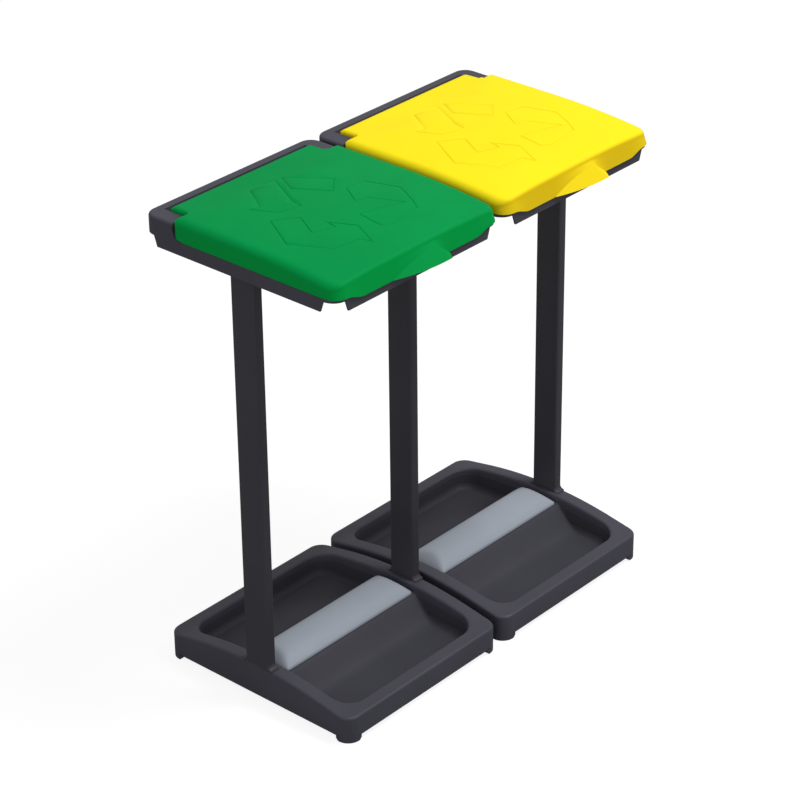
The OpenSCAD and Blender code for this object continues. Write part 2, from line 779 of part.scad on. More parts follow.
// Front view of the lid: a shallow crown with rounded side edges
module lid_front_view(inset) {
    half = ring_width / 2 - inset;
    bottom = lid_edge_z - (inset > 0 ? cut : 0);
    side_top = lid_side_z - inset;
    crown = [for (i = [1 - top_steps : top_steps - 1]) let (share = i / top_steps)
        [half * share, side_top + lid_crown * (1 - share * share)]];
    left_edge = rounded_corner([-half, bottom], [-half, side_top], crown[0], lid_edge_radius - inset);
    right_edge = [for (i = [corner_steps : -1 : 0]) [-left_edge[i][0], left_edge[i][1]]];
    polygon(concat([[-half, bottom]], left_edge, crown, right_edge, [[half, bottom]]));
}

module lid_plan(inset) {
    rounded_strip(ring_width - 2 * inset, lid_front + inset, lid_back - inset,
        lid_corner_radius - inset, lid_rear_radius - inset);
    rounded_strip(2 * (tongue_half - inset), lid_back - 2 * lid_wall - lid_rear_radius,
        hinge_y + nose_radius - inset, 0, lid_rear_radius - inset);
}

// Rounding of the lower rear corner of the lid's sides, beside the arms
module lid_side_corners(inset) {
    radius = arm_fillet - inset;
    length = ring_width / 2 - tongue_half + cut;
    for (side = [-1, 1])
        translate([side * (tongue_half + length / 2), 0, 0]) along_x(length) difference() {
            translate([lid_back - arm_fillet, lid_edge_z - 2 * cut]) square([arm_fillet + cut, arm_fillet + 2 * cut]);
            translate([lid_back - arm_fillet, lid_edge_z + arm_fillet]) circle(r = radius, $fn = round_fn);
        }
}

module lid_body(inset) {
    difference() {
        intersection() {
            translate([0, 0, lid_edge_z - 2 * cut])
                linear_extrude(height = crown_z - lid_edge_z + 3 * cut) lid_plan(inset);
            along_x(ring_width) lid_side_view(inset);
            along_y(2 * tray_depth) lid_front_view(inset);
        }
        lid_side_corners(inset);
    }
}

// Boss at each end of the lid's rear part, hung from its top by a rib
module lid_bosses() {
    for (side = [-1, 1]) {
        on_hinge(side * (tongue_half - lid_boss_length / 2))
            cylinder(d = boss_diameter, h = lid_boss_length, center = true, $fn = fine);
        translate([side * (tongue_half - lid_boss_length / 2), hinge_y, hinge_z + nose_radius / 2])
            cube([lid_boss_length, lid_wall, nose_radius - lid_wall], center = true);
    }
}

// Apron along the lid's front, rising to the lid's edge at both ends
module lid_apron() {
    half = ring_width / 2 - lid_corner_radius;
    base = lid_edge_z - apron_depth;
    top = lid_edge_z + weld;
    translate([0, lid_front + lid_wall / 2, 0]) along_y(lid_wall)
        polygon(rounded_points([[-half, top], [-half, lid_edge_z], [apron_run - half, base],
            [half - apron_run, base], [half, lid_edge_z], [half, top]],
            [0, 0, apron_run / 2, apron_run / 2, 0, 0]));
}

// Flared pull: a part of a cone that grows out of the lid's front
module pull_cone(inset) {
    translate([pull_offset, pull_front + pull_radius, lid_edge_z - apron_depth - (inset > 0 ? cut : 0)])
        cylinder(r1 = pull_radius - inset, r2 = pull_radius - pull_reach - inset, h = pull_height,
            $fn = 4 * round_fn);
}

// Everything on the lid's side of the pull's short end, which slopes in to the lid
module pull_end(inset) {
    turn_in = atan2(pull_end_run, pull_reach);
    share = cos(turn_in) * pull_end_lean / pull_height;
    shift = inset * sqrt(1 + share * share);
    reach = 4 * pull_half_width;
    translate([pull_half_width, lid_front, lid_edge_z - apron_depth]) rotate([0, 0, -turn_in])
        along_y(reach) polygon([[-reach, -2 * cut], [2 * cut * share - shift, -2 * cut],
            [-(pull_height + cut) * share - shift, pull_height + cut], [-reach, pull_height + cut]]);
}

module pull(inset) {
    bottom = lid_edge_z - apron_depth - (inset > 0 ? 2 * cut : 0);
    intersection() {
        pull_cone(inset);
        pull_end(inset);
        translate([-pull_half_width, pull_front, bottom])
            cube([2 * pull_half_width, pull_reach + lid_wall + inset, pull_height]);
    }
}

module lid() {
    difference() {
        union() {
            difference() {
                union() {
                    lid_body(0);
                    lid_apron();
                    pull(0);
                }
                lid_body(lid_wall);
                pull(lid_wall);
            }
            lid_bosses();
        }
        for (side = [-1, 1])
            on_hinge(side * (tongue_half - lid_boss_length / 2))
                cylinder(d = pin_diameter, h = lid_boss_length + 2 * cut, center = true, $fn = fine);
    }
}

module hinge_pin(side) {
    inner = tongue_half - lid_boss_length;
    on_hinge(side * (inner + pin_length / 2))
        cylinder(d = pin_diameter, h = pin_length, center = true, $fn = fine);
}

// Clip that straddles two neighbouring walls from below, with a web in the gap
module link(gap, wall, edge_z) {
    slot = wall + 2 * fit_gap;
    half = gap / 2 - fit_gap;
    outer = half + slot + link_wall;
    translate([0, 0, edge_z - fit_gap - link_wall]) {
        translate([-outer, -link_length / 2, 0]) cube([2 * outer, link_length, link_wall]);
        translate([-half, -link_length / 2, 0])
            cube([2 * half, link_length, link_wall + link_height / 2]);
        for (sx = [-1, 1]) scale([sx, 1, 1])
            translate([half + slot, -link_length / 2, 0])
                cube([link_wall, link_length, link_wall + link_height]);
    }
}

module tray_link() {
    link(unit_pitch - tray_width, tray_wall, wall_base_z);
}

module ring_link() {
    link(unit_pitch - ring_width, skirt_wall, ring_edge_height);
}

module place(x) {
    translate([x, -mid_y, 0]) children();
}

post_places = [left_unit_x - post_x, left_unit_x + post_x, right_unit_x + post_x];

module tray_left() { color(dark_grey) place(left_unit_x) tray([-1, 1]); }
module tray_right() { color(dark_grey) place(right_unit_x) tray([1]); }
module roll_cover_left() { color(cover_grey) place(left_unit_x) roll_cover(); }
module roll_cover_right() { color(cover_grey) place(right_unit_x) roll_cover(); }
module post_left() { color(post_grey) place(post_places[0]) post(); }
module post_centre() { color(post_grey) place(post_places[1]) post(); }
module post_right() { color(post_grey) place(post_places[2]) post(); }
module foot_plug(i) { color(dark_grey) place(post_places[i]) translate([0, 0, crest_z]) plug(); }
module top_plug(i) {
    color(dark_grey) place(post_places[i]) translate([0, 0, ring_edge_height - plug_length]) plug();
}
module foot_plug_left() { foot_plug(0); }
module foot_plug_centre() { foot_plug(1); }
module foot_plug_right() { foot_plug(2); }
module top_plug_left() { top_plug(0); }
module top_plug_centre() { top_plug(1); }
module top_plug_right() { top_plug(2); }
module foot_screws() {
    color(screw_steel) for (x = post_places)
        place(x) translate([0, 0, crest_z - pad_thickness]) post_screw();
}
module top_screws() {
    color(screw_steel) for (x = post_places)
        place(x) translate([0, 0, flange_z - screw_head_height - fit_gap]) mirror([0, 0, 1]) post_screw();
}
module bag_ring_left() { color(dark_grey) place(left_unit_x) bag_ring([-1, 1]); }
module bag_ring_right() { color(dark_grey) place(right_unit_x) bag_ring([1]); }
module lid_green() { color(lid_green_colour) place(left_unit_x) lid(); }
module lid_yellow() { color(lid_yellow_colour) place(right_unit_x) lid(); }
module hinge_pin_green_left() { color(dark_grey) place(left_unit_x) hinge_pin(-1); }
module hinge_pin_green_right() { color(dark_grey) place(left_unit_x) hinge_pin(1); }
module hinge_pin_yellow_left() { color(dark_grey) place(right_unit_x) hinge_pin(-1); }
module hinge_pin_yellow_right() { color(dark_grey) place(right_unit_x) hinge_pin(1); }
module tray_link_front() { color(dark_grey) place(0) translate([0, -link_y, 0]) tray_link(); }
module tray_link_rear() { color(dark_grey) place(0) translate([0, link_y, 0]) tray_link(); }
module ring_link_front() { color(dark_grey) place(0) translate([0, -link_y, 0]) ring_link(); }
module ring_link_rear() { color(dark_grey) place(0) translate([0, link_y, 0]) ring_link(); }

tray_left();
tray_right();
roll_cover_left();
roll_cover_right();
post_left();
post_centre();
post_right();
foot_plug_left();
foot_plug_centre();
foot_plug_right();
top_plug_left();
top_plug_centre();
top_plug_right();
foot_screws();
top_screws();
bag_ring_left();
bag_ring_right();
lid_green();
lid_yellow();
hinge_pin_green_left();
hinge_pin_green_right();
hinge_pin_yellow_left();
hinge_pin_yellow_right();
tray_link_front();
tray_link_rear();
ring_link_front();
ring_link_rear();
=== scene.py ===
import json
import math

import bmesh
import bpy
from mathutils import Matrix, Vector, geometry


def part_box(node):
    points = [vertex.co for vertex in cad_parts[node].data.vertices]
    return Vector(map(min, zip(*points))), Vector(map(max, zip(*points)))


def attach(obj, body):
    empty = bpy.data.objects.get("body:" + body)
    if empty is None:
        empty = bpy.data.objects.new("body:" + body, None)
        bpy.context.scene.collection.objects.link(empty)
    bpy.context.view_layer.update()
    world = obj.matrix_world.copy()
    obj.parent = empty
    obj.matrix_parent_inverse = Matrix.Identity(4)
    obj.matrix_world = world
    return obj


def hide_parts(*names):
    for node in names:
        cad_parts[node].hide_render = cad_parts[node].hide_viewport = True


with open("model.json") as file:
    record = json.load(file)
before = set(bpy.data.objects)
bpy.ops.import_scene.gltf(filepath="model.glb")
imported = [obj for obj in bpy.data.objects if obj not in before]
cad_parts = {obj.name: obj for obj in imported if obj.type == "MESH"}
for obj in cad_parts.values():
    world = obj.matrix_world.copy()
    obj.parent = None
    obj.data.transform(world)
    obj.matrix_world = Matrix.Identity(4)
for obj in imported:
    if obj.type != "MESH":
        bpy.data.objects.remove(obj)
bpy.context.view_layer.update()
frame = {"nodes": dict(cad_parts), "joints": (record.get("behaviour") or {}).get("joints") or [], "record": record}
MM = 0.001

# Sizes of the product in millimetres. Names with Z are heights above the floor. The plan is
# measured from the middle of a unit, and HALF stands for half a length.

# Base tray
TRAY_HALF_X = 178.0
TRAY_HALF_Y = 194.5
TRAY_CORNER = 22.0
TRAY_WALL = 3.0
WALL_BASE_Z = 10.0
RIM_Z = 47.0
RIM_CREST_Z = 67.0
RIM_ARCH_HALF = 172.0
RIM_BLEND = 2.5
RIM_WIDTH = 24.0
RIM_ROUND = 4.0
LIP_DEPTH = 5.5
RECESS_CORNER = 36.0
RECESS_LEAN = 7.0
RECESS_FILLET = 12.0
FILLET_LEAD = 1.5
RIDGE_WALL_BLEND = 1.5
FLOOR_Z = 15.0
RIDGE_Z = 54.0
RIDGE_HALF = 39.5
RIDGE_RUN = 38.5
RIDGE_FOOT_BLEND = 14.0
RIDGE_TOP_BLEND = 2.5
TROUGH_HALF_X = 140.0
TROUGH_HALF_Y = 28.0
TROUGH_Z = 19.0
WEB_PITCH = 62.0
WEB_THICKNESS = 2.0
WEB_INSET = 3.5
FOOT_LENGTH = 28.0
FOOT_BEVEL = 5.0
FOOT_EDGE = 0.8
FOOT_TOP_Z = 11.0

# Distances inside the tray's outer edge: the rounded inner edge of the rim, the recess, the rows
# at which the floor and its underside begin, and a place that is past all walls
LIP_START = RIM_WIDTH - 3.0
LIP_END = RIM_WIDTH + 1.2
RECESS_START = 26.0
FLOOR_START = 41.0
UNDERSIDE_START = 36.0
PAST_WALLS = 60.0

# Posts
POST_THICKNESS = 19.0
POST_HALF_Y = 23.8
POST_Y = -2.6
POST_ROUND = 4.0
POST_FLARE = 8.0
POST_SINK = 2.0
POST_TOP_Z = 734.0

# Lids
RING_HALF_X = 181.0
LID_EDGE_Z = 756.0
LID_SIDE_Z = 788.5
LID_CROWN = 6.5
LID_TOP_BLEND = 0.6
LID_WALL = 2.5
LID_FRONT_DROP = 13.5
LID_SIDE_DROP = 12.0
LID_FRONT_LEAN = 5.0
LID_REAR_FALL = 100.0
LID_CORNER = 24.0
NOSE_RADIUS = 16.0
LID_SIDE_ROUND = 14.0
LID_FRONT_ROUND = 6.0
LID_REAR_ROUND = 7.0
TONGUE_HALF = 151.0
TONGUE_CORNER = 14.0
BODY_REAR_CORNER = 9.0
NOTCH_ROUND = 3.0
LEAST_ROUND = 0.4
ARM_FILLET = 15.0
PIN_RADIUS = 4.0
BOSS_RADIUS = 7.5
BOSS_LENGTH = 14.0
APRON_DEPTH = 8.5
APRON_RUN = 34.0
APRON_BAND = 3.0
GROOVE_DEPTH = 0.9
GROOVE_BED_HALF = 0.45
GROOVE_HALF = 1.25

# Pulls of the lids
PULL_HALF = 62.0
PULL_OFFSET = 35.0
PULL_REACH = 17.0
PULL_HEIGHT = 22.0
PULL_END_RUN = 13.0
PULL_END_LEAN = 30.0
PULL_SINK = 0.6
PULL_LEDGE = 3.0
PULL_TURN = math.atan2(PULL_END_RUN, PULL_REACH)
PAST_PULL = 0.2  # an angle round the pull's cone that is past its short end, in radians

# Covers of the bag roll stores
COVER_HALF_X = 147.5
COVER_HALF_Y = 38.5
COVER_BASE_Z = 54.2
COVER_HEIGHT = 21.0
COVER_EDGE = 3.7
COVER_EDGE_DROP = 0.5
COVER_EDGE_INSET = 0.9
COVER_END_RUN = 15.0
COVER_BLEND = 5.0
COVER_BLEND_LIFT = 0.12
COVER_CORNER = 5.0
COVER_WALL = 2.5
COVER_RIB_HALF = 131.0
COVER_RIB_DEPTH = 5.8
COVER_RIB_GAP = 0.2
COVER_RIB_OVERLAP = 0.4

# Places along the pair, from its middle
UNIT_X = {"left": -185.0, "right": 185.0}
POST_X = {"left": -353.9, "centre": -14.6, "right": 353.9}

# Places from front to back and heights, taken from the tray and the hinge of the frame
MID_Y = (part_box("tray_left")[0].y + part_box("tray_left")[1].y) / 2 / MM
HINGE = frame["joints"][0]["pos_m"]
HINGE_Y = HINGE[1] / MM - MID_Y
HINGE_Z = HINGE[2] / MM
LID_FRONT_Y = HINGE_Y - 348.7
TOP_FRONT_Y = LID_FRONT_Y + LID_FRONT_LEAN
LID_BACK_Y = HINGE_Y - 25.0

# Values of the meshes, in millimetres: how deep ribs run into the wall that they hang from, how
# far grid points stay from outlines and how far the floor's lines reach, how near a point counts
# as lying on an outline or as not past a side, and how near points are welded
RIB_OVERLAP = 0.5
EDGE_CLEARANCE = 1.2
GROOVE_CLEARANCE = 2.0
FLOOR_LINES_HALF = 130.0
ON_LOOP = 0.02
SIDE_TOLERANCE = 0.2
WELD_DISTANCE = 0.02


# Materials. The noise scales are per metre, and the grain's depth is in metres.

CLOUD_SCALE = 9.0
PATCH_SCALE = 45.0
GRAIN_SCALE = 1400.0
GRAIN_DEPTH = 0.00004
GLOSS_SPREAD = 0.06
WHITE = (1.0, 1.0, 1.0, 1.0)


def srgb(red, green, blue):
    """Linear colour for an 8-bit screen colour."""
    def channel(value):
        share = value / 255
        return share / 12.92 if share <= 0.04045 else ((share + 0.055) / 1.055) ** 2.4
    return (channel(red), channel(green), channel(blue), 1.0)


def node_material(name):
    """A material with its node tree and the main shader in it."""
    material = bpy.data.materials.new(name)
    material.use_nodes = True
    tree = material.node_tree
    return material, tree, tree.nodes["Principled BSDF"]


def add_node(tree, kind, **values):
    """A node with some input values. An underscore stands for a space in an input's name."""
    node = tree.nodes.new(kind)
    for name, value in values.items():
        node.inputs[name.replace("_", " ")].default_value = value
    return node


def add_noise(tree, place, scale, detail):
    """Noise that is fixed to the object. Returns its grey value."""
    noise = add_node(tree, "ShaderNodeTexNoise", Scale=scale, Detail=detail)
    tree.links.new(place.outputs["Object"], noise.inputs["Vector"])
    return noise.outputs["Fac"]


def add_gloss(tree, shader, value, low, high):
    """Roughness that follows a value between two limits."""
    gloss = add_node(tree, "ShaderNodeMapRange", To_Min=low, To_Max=high)
    tree.links.new(value, gloss.inputs["Value"])
    tree.links.new(gloss.outputs["Result"], shader.inputs["Roughness"])


def shade_by_facing(tree, top_colour, painted_side_shade):
    """Painted shading: colour that goes from the side's to the top's as a face turns upwards, standing in for how
    light falls on it.
    """
    facing = add_node(tree, "ShaderNodeNewGeometry")
    parts = add_node(tree, "ShaderNodeSeparateXYZ")
    level = add_node(tree, "ShaderNodeMapRange", From_Min=0.1, From_Max=0.95)
    blend = add_node(tree, "ShaderNodeMixRGB", Color1=painted_side_shade)
    tree.links.new(facing.outputs["Normal"], parts.inputs[0])
    tree.links.new(parts.outputs["Z"], level.inputs["Value"])
    tree.links.new(level.outputs["Result"], blend.inputs["Fac"])
    tree.links.new(top_colour, blend.inputs["Color2"])
    return blend.outputs[0]


def moulded_plastic(name, colour, roughness, sheen=0.3, tint=0.06, side=None):
    """Satin plastic with a fine spark-eroded grain, faint flow clouds and uneven gloss.
    A side colour is painted shading: upright faces take it in place of the main colour, standing in for how light
    falls on them."""
    material, tree, shader = node_material(name)
    shader.inputs["Specular IOR Level"].default_value = sheen
    place = tree.nodes.new("ShaderNodeTexCoord")

    ramp = tree.nodes.new("ShaderNodeValToRGB")
    for stop, position, factor in zip(ramp.color_ramp.elements, (0.3, 0.7), (1 - tint, 1 + tint)):
        stop.position = position
        stop.color = [min(1.0, c * factor) for c in colour[:3]] + [1.0]
    tree.links.new(add_noise(tree, place, CLOUD_SCALE, 3.0), ramp.inputs["Fac"])
    shown = ramp.outputs["Color"]
    # painted shading: upright faces get the side colour, standing in for how light falls on them
    if side is not None:
        shown = shade_by_facing(tree, shown, side)
    tree.links.new(shown, shader.inputs["Base Color"])

    patches = add_noise(tree, place, PATCH_SCALE, 4.0)
    add_gloss(tree, shader, patches, roughness - GLOSS_SPREAD, roughness + GLOSS_SPREAD)

    bump = add_node(tree, "ShaderNodeBump", Strength=0.5, Distance=GRAIN_DEPTH)
    tree.links.new(add_noise(tree, place, GRAIN_SCALE, 2.0), bump.inputs["Height"])
    tree.links.new(bump.outputs["Normal"], shader.inputs["Normal"])
    return material


def zinc_steel(name):
    """Zinc-plated steel with fine turning marks."""
    material, tree, shader = node_material(name)
    shader.inputs["Base Color"].default_value = srgb(176, 178, 182)
    shader.inputs["Metallic"].default_value = 1.0
    place = tree.nodes.new("ShaderNodeTexCoord")
    add_gloss(tree, shader, add_noise(tree, place, 600.0, 2.0), 0.25, 0.45)
    return material


DARK = moulded_plastic("dark_plastic", srgb(67, 66, 77), 0.52)
POST = moulded_plastic("post_plastic", srgb(58, 56, 63), 0.5)
# a darker copy of the dark plastic for the tray's recess: painted shade
BASIN_SHADE = moulded_plastic("basin_painted_shade", srgb(60, 60, 68), 0.6, sheen=0.2)
GREY = moulded_plastic("grey_plastic", srgb(156, 163, 174), 0.5, sheen=0.25, tint=0.04)
# the side colours of the green and yellow plastic are painted shading on upright faces
GREEN = moulded_plastic("green_plastic", srgb(0, 144, 71), 0.55, sheen=0.04, tint=0.05,
                        side=srgb(0, 156, 66))
YELLOW = moulded_plastic("yellow_plastic", srgb(248, 226, 22), 0.55, sheen=0.08, tint=0.02,
                         side=srgb(229, 194, 18))
STEEL = zinc_steel("zinc_steel")


# Curves

def spread(start, end, count):
    """Values from start to end in a number of even steps."""
    return [start + (end - start) * i / count for i in range(count + 1)]


def smooth_max(a, b, soft):
    """The larger of two values, with the bend between them rounded."""
    return 0.5 * (a + b + math.sqrt((a - b) ** 2 + soft ** 2))


def smooth_min(a, b, soft):
    """The smaller of two values, with the bend between them rounded."""
    return 0.5 * (a + b - math.sqrt((a - b) ** 2 + soft ** 2))


def smooth_step(share):
    """Share from 0 to 1 that starts and ends level."""
    share = max(0.0, min(1.0, share))
    return share ** 2 * (3 - 2 * share)


def arc_radius(half, rise):
    """Radius of an arc with a half chord and a rise."""
    return (half ** 2 + rise ** 2) / (2 * rise)


def arc_height(radius, offset):
    """Height of a circle above its centre at an offset from it."""
    return math.sqrt(max(radius ** 2 - offset ** 2, 0.0))


def edge_drop(distance, radius):
    """Drop of a rounded edge at a distance from the side."""
    if distance >= radius:
        return 0.0
    return radius - arc_height(radius, radius - max(distance, 0.0))


def corner_arc(centre, radius, start, count):
    """Points of a quarter turn, anticlockwise from the start angle in degrees."""
    angles = [math.radians(angle) for angle in spread(start, start + 90.0, count)]
    return [(centre[0] + radius * math.cos(a), centre[1] + radius * math.sin(a)) for a in angles]


def segment_distance(ax, ay, bx, by, x, y):
    """Distance of a point from a line between two others."""
    dx, dy = bx - ax, by - ay
    squared = dx * dx + dy * dy
    share = 0.0
    if squared > 0:
        share = max(0.0, min(1.0, ((x - ax) * dx + (y - ay) * dy) / squared))
    return math.hypot(x - ax - share * dx, y - ay - share * dy)


def near_loop(loop, x, y, margin):
    """Whether a point is nearer to a loop's outline than the margin."""
    return any(segment_distance(*loop[i - 1], *loop[i], x, y) < margin for i in range(len(loop)))


def inside(loop, x, y, margin=0.0):
    """Whether a point is inside a loop, and further from it than the margin."""
    odd = False
    for i in range(len(loop)):
        ax, ay = loop[i - 1]
        bx, by = loop[i]
        if (ay > y) != (by > y) and x < (bx - ax) * (y - ay) / (by - ay) + ax:
            odd = not odd
    return odd and not (margin and near_loop(loop, x, y, margin))


def shrink_loop(loop, distance):
    """The same polygon with every side moved inwards."""
    out = []
    for i in range(len(loop)):
        before, here, after = (Vector(loop[(i + k) % len(loop)]) for k in (-1, 0, 1))
        a = (here - before).normalized()
        b = (after - here).normalized()
        a_in = Vector((-a.y, a.x))
        b_in = Vector((-b.y, b.x))
        out.append(tuple(here + (a_in + b_in) * distance / (1 + a_in.dot(b_in))))
    return out


# Meshes

class Shell:
    """Collects points in millimetres, in a unit's own frame, and faces by point number."""

    def __init__(self):
        self.points = []
        self.faces = []

    def add(self, points):
        """Adds a row of points and returns their numbers."""
        start = len(self.points)
        self.points.extend(points)
        return list(range(start, start + len(points)))

    def band(self, low, high, closed=True):
        """Quads between two rows of points with the same count."""
        count = len(low)
        for i in range(count if closed else count - 1):
            j = (i + 1) % count
            self.faces.append((low[i], low[j], high[j], high[i]))

    def bands(self, rows, closed=True, inward=False):
        """Quads between each row and the next. Those of an inner face are turned round."""
        for low, high in zip(rows, rows[1:]):
            if inward:
                low, high = high, low
            self.band(low, high, closed)

    def drape(self, plan, height, inward=False):
        """Triangles of a plan, lifted to a height that is a function of x and y."""
        points, faces = plan
        ids = self.add([(x, y, height(x, y)) for x, y in points])
        for face in faces:
            corners = tuple(ids[i] for i in face)
            self.faces.append(corners[::-1] if inward else corners)

    def plate(self, path, thickness, along):
        """Upright plate over a path of (distance, low, high). The function along turns a
        distance, an offset across the plate and a height into a point."""
        for (a, low_a, high_a), (b, low_b, high_b) in zip(path, path[1:]):
            outline = ((a, low_a), (b, low_b), (b, high_b), (a, high_a))
            first, second = [self.add([along(s, offset, z) for s, z in outline])
                             for offset in (-thickness / 2, thickness / 2)]
            self.faces.append(tuple(first))
            self.faces.append(tuple(reversed(second)))
            self.faces.append((first[0], second[0], second[1], first[1]))

    def build(self, name, unit_x, material, sharp_angle=38.0):
        """The object, welded and shaded smooth up to the sharp angle."""
        mesh = bpy.data.meshes.new(name)
        place = Vector((unit_x, MID_Y, 0.0))
        mesh.from_pydata([(Vector(p) + place) * MM for p in self.points], [], self.faces)
        mesh.validate()
        piece = bpy.data.objects.new(name, mesh)
        bpy.context.scene.collection.objects.link(piece)
        edit = bmesh.new()
        edit.from_mesh(mesh)
        bmesh.ops.remove_doubles(edit, verts=edit.verts, dist=WELD_DISTANCE * MM)
        bmesh.ops.recalc_face_normals(edit, faces=edit.faces)
        edit.to_mesh(mesh)
        edit.free()
        for face in mesh.polygons:
            face.use_smooth = True
        mesh.set_sharp_from_angle(angle=math.radians(sharp_angle))
        mesh.materials.append(material)
        return piece


def fill_plan(loops, lines, grooves=()):
    """Triangles over nested loops of plan points, with grid points where the lines cross inside
    the last loop. The first loop is the outer edge. Grooves are further loops inside it.
    Returns the plan points and the triangles."""
    points = []
    edges = []
    for loop in [*loops, *grooves]:
        start = len(points)
        points.extend(Vector(p) for p in loop)
        edges.extend((start + i, start + (i + 1) % len(loop)) for i in range(len(loop)))
    for x in lines[0]:
        for y in lines[1]:
            clear = inside(loops[-1], x, y, EDGE_CLEARANCE)
            if clear and not any(near_loop(loop, x, y, GROOVE_CLEARANCE) for loop in grooves):
                points.append(Vector((x, y)))
    out_points, _, faces, _, _, _ = geometry.delaunay_2d_cdt(points, edges, [], 1, 1e-4)
    return [(p.x, p.y) for p in out_points], [tuple(f) for f in faces]


# Base trays

def rim_height(y):
    """Height of the tray's rim: level at the corners, arched up to the posts."""
    radius = arc_radius(RIM_ARCH_HALF, RIM_CREST_Z - RIM_Z)
    arch = RIM_CREST_Z - radius + arc_height(radius, y)
    return smooth_max(arch, RIM_Z, RIM_BLEND) - RIM_BLEND / 4


def ridge_height(y):
    """Height of the basins' floor with the cross ridge between them, bends rounded."""
    slope = (RIDGE_Z - FLOOR_Z) / RIDGE_RUN
    ramp = RIDGE_Z - (abs(y) - RIDGE_HALF) * slope
    return smooth_min(smooth_max(ramp, FLOOR_Z, RIDGE_FOOT_BLEND), RIDGE_Z, RIDGE_TOP_BLEND)


def wall_height(d):
    """Height of the recess wall at a distance d from the tray's edge, under a level rim."""
    slope = (RIM_Z - FLOOR_Z) / RECESS_LEAN
    fillet_start = RIM_WIDTH + RECESS_LEAN - FILLET_LEAD
    fillet_end = fillet_start + RECESS_FILLET
    if d >= fillet_end:
        return FLOOR_Z
    if d <= fillet_start:
        return RIM_Z - (d - RIM_WIDTH) * slope
    return FLOOR_Z + RECESS_FILLET - arc_height(RECESS_FILLET, fillet_end - d)


def tray_surface(x, y, d):
    """Height of the tray's upper face at a plan point, which is d inside the tray's edge."""
    rim = rim_height(y)
    if d < RIM_ROUND:
        return rim - edge_drop(d, RIM_ROUND)
    if d <= LIP_START:
        return rim
    in_trough = abs(x) < TROUGH_HALF_X and abs(y) < TROUGH_HALF_Y
    ground = TROUGH_Z if in_trough else ridge_height(y)
    if d < LIP_END:
        share = (d - LIP_START) / (LIP_END - LIP_START)
        return max(rim - LIP_DEPTH * (1 - arc_height(1.0, share)), ground)
    share = (wall_height(d) - FLOOR_Z) / (RIM_Z - FLOOR_Z)
    wall = FLOOR_Z + share * (rim - FLOOR_Z)
    # the ridge blends into the wall, but the basins' floor has the wall's own fillet
    if ground > FLOOR_Z + 1:
        return smooth_max(wall, ground, RIDGE_WALL_BLEND)
    return max(wall, ground)


def tray_under(x, y, d):
    """Height of the face over the hollow underside, one wall thickness inside the upper one."""
    return tray_surface(x, y, d + TRAY_WALL) - TRAY_WALL


def tray_loop(d, ys):
    """Rounded rectangle at a distance d inside the tray's edge. The ys are those of the points
    on its two long sides."""
    half_x = TRAY_HALF_X - d
    half_y = TRAY_HALF_Y - d
    share = min(d / RIM_WIDTH, 1.0)
    radius = TRAY_CORNER + (RECESS_CORNER - TRAY_CORNER) * share - max(d - RIM_WIDTH, 0.0)
    flat_x = half_x - radius
    flat_y = half_y - radius
    xs = spread(-flat_x, flat_x, 14)
    loop = [(x, -half_y) for x in xs[:-1]]
    loop += corner_arc((flat_x, -flat_y), radius, -90, 10)
    loop += [(half_x, y) for y in ys]
    loop += corner_arc((flat_x, flat_y), radius, 0, 10)
    loop += [(x, half_y) for x in reversed(xs[1:-1])]
    loop += corner_arc((-flat_x, flat_y), radius, 90, 10)
    loop += [(-half_x, y) for y in reversed(ys)]
    loop += corner_arc((-flat_x, -flat_y), radius, 180, 10)[:-1]
    return loop


def add_tray_top(shell, ys):
    """Outer wall, rim, recess walls, floors and ridge. Returns the outer wall's lowest row."""
    distances = [RIM_ROUND * (1 - math.cos(math.radians(a))) for a in range(0, 91, 18)]
    distances += [9.0, 15.0, 21.0, 22.0, 23.0, 23.8, 24.5, 25.2, 26.2, 27.2, 28.2, 29.2, 29.9,
                  31.0, 32.5, 34.5, 37.0, 37.8, 38.2, FLOOR_START]
    rows = [shell.add([(x, y, tray_surface(x, y, d)) for x, y in tray_loop(d, ys)])
            for d in distances]
    base = shell.add([(x, y, WALL_BASE_Z) for x, y in tray_loop(0.0, ys)])
    shell.bands([base] + rows)

    trough_line = TROUGH_HALF_X - 0.3
    columns = spread(-FLOOR_LINES_HALF, FLOOR_LINES_HALF, 10) + [-trough_line, trough_line]
    plan = fill_plan([tray_loop(FLOOR_START, ys)], (sorted(columns), ys))
    shell.drape(plan, lambda x, y: tray_surface(x, y, PAST_WALLS))
    return base


def add_tray_underside(shell, ys, base):
    """Inner face of the hollow underside, joined to the outer wall's lowest row."""
    distances = [TRAY_WALL, 8.0, 19.0, 21.5, 22.8, 24.0, 26.0, 27.0, 29.0, 32.0, UNDERSIDE_START]
    rows = [shell.add([(x, y, tray_under(x, y, d)) for x, y in tray_loop(d, ys)])
            for d in distances]
    inner_base = shell.add([(x, y, WALL_BASE_Z) for x, y in tray_loop(TRAY_WALL, ys)])
    shell.bands([base, inner_base] + rows, inward=True)

    columns = spread(-FLOOR_LINES_HALF, FLOOR_LINES_HALF, 10)
    plan = fill_plan([tray_loop(UNDERSIDE_START, ys)], (columns, ys))
    shell.drape(plan, lambda x, y: tray_surface(x, y, PAST_WALLS) - TRAY_WALL, inward=True)


def add_webs(shell):
    """Five webs each way across the hollow underside."""
    half_x = TRAY_HALF_X - WEB_INSET
    half_y = TRAY_HALF_Y - WEB_INSET

    def height(x, y):
        return tray_under(x, y, min(TRAY_HALF_X - abs(x), TRAY_HALF_Y - abs(y))) + RIB_OVERLAP

    for place in (i * WEB_PITCH for i in range(-2, 3)):
        path = [(y, WALL_BASE_Z, height(place, y)) for y in spread(-half_y, half_y, 96)]
        shell.plate(path, WEB_THICKNESS, lambda y, across, z: (place + across, y, z))
        path = [(x, WALL_BASE_Z, height(x, place)) for x in spread(-half_x, half_x, 88)]
        shell.plate(path, WEB_THICKNESS, lambda x, across, z: (x, place + across, z))


